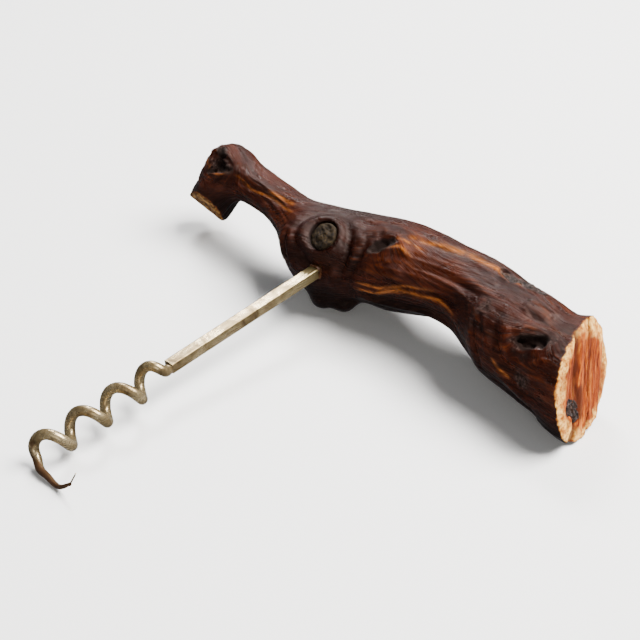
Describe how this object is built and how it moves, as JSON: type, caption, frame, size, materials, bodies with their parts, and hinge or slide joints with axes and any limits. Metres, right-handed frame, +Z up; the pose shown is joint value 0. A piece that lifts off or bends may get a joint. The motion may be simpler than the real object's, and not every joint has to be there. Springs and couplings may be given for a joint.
{
  "type": "direct-pull corkscrew",
  "caption": "Direct-pull corkscrew: a steel wire worm on a square shank, glued across the middle of a gnarled, varnished vine-wood handle with sawn ends.",
  "frame": {"origin": "middle of the tool's bounding box, on the table it lies on", "axes": "+X along the handle towards its thick sawn end, -Y along the shank towards the point, +Z up from the table"},
  "size_m": [0.152, 0.1274, 0.031],
  "materials": {
    "varnished_vine": "dark red-brown varnish, satin gloss; raw orange-tan wood at the sawn ends",
    "dead_wood": "weathered grey-brown end grain",
    "bark": "rough crumbling bark",
    "glue": "hard amber-brown glue",
    "plated_steel": "worn nickel plating, bright to satin, tarnished brown at the point"
  },
  "bodies": {
    "root": {"vine_handle": "varnished_vine", "knot_stub": "dead_wood", "bark_seam": "bark", "bark_pocket": "bark", "glue_fill": "glue", "worm_shank": "plated_steel"}
  },
  "joints": []
}
